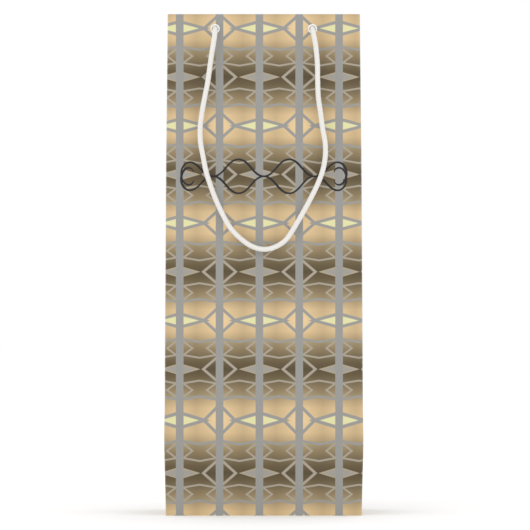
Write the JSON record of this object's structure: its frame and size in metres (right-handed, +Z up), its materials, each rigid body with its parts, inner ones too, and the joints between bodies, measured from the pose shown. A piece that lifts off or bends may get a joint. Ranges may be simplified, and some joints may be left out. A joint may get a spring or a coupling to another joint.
{
  "type": "wine gift bag",
  "caption": "Tall gusseted paper gift bag for a wine bottle, with folded block base, hemmed top, plastic eyelets and knotted cord handles that swing.",
  "frame": {"origin": "middle of the base's underside, on the surface that the bag stands on", "axes": "+Z up the bag, +X to the right across the front panel, the front panel faces -Y"},
  "size_m": [0.133, 0.1028, 0.34],
  "materials": {
    "printed_paper": "coated art paper, offset printed with a grey, gold and brown geometric repeat, satin laminated",
    "plain_paper": "uncoated white back of the printed sheet",
    "greyboard": "grey-white recycled card, uncoated",
    "eyelet_plastic": "moulded white polypropylene, slightly glossy",
    "cord": "soft white braided polyester rope"
  },
  "bodies": {
    "bag": {"front_panel": "printed_paper", "rear_panel": "printed_paper", "left_gusset_front": "printed_paper", "left_gusset_rear": "printed_paper", "left_gusset_foot": "printed_paper", "right_gusset_front": "printed_paper", "right_gusset_rear": "printed_paper", "right_gusset_foot": "printed_paper", "rear_flap": "printed_paper", "front_hem": "printed_paper", "rear_hem": "printed_paper", "left_hem_front": "printed_paper", "left_hem_rear": "printed_paper", "right_hem_front": "printed_paper", "right_hem_rear": "printed_paper", "side_seam": "plain_paper", "front_flap": "plain_paper", "left_flap": "plain_paper", "right_flap": "plain_paper", "front_top_card": "greyboard", "rear_top_card": "greyboard", "front_left_eyelet": "eyelet_plastic", "front_right_eyelet": "eyelet_plastic", "rear_left_eyelet": "eyelet_plastic", "rear_right_eyelet": "eyelet_plastic", "front_left_knot": "cord", "front_right_knot": "cord", "rear_left_knot": "cord", "rear_right_knot": "cord"},
    "front_handle": {"front_handle_cord": "cord"},
    "rear_handle": {"rear_handle_cord": "cord"},
    "base_card": {"base_card": "greyboard"}
  },
  "joints": [
    {"name": "front_handle_swing", "type": "hinge", "parent": "bag", "child": "front_handle", "pos_m": [0, -0.0473, 0.33], "axis": [-1, 0, 0], "range_deg": [0, 175]},
    {"name": "rear_handle_swing", "type": "hinge", "parent": "bag", "child": "rear_handle", "pos_m": [0, 0.0473, 0.33], "axis": [1, 0, 0], "range_deg": [0, 175]},
    {"name": "base_card_tilt", "type": "hinge", "parent": "bag", "child": "base_card", "pos_m": [0, 0.0371, 0.0012], "axis": [-1, 0, 0], "range_deg": [0, 80]}
  ]
}
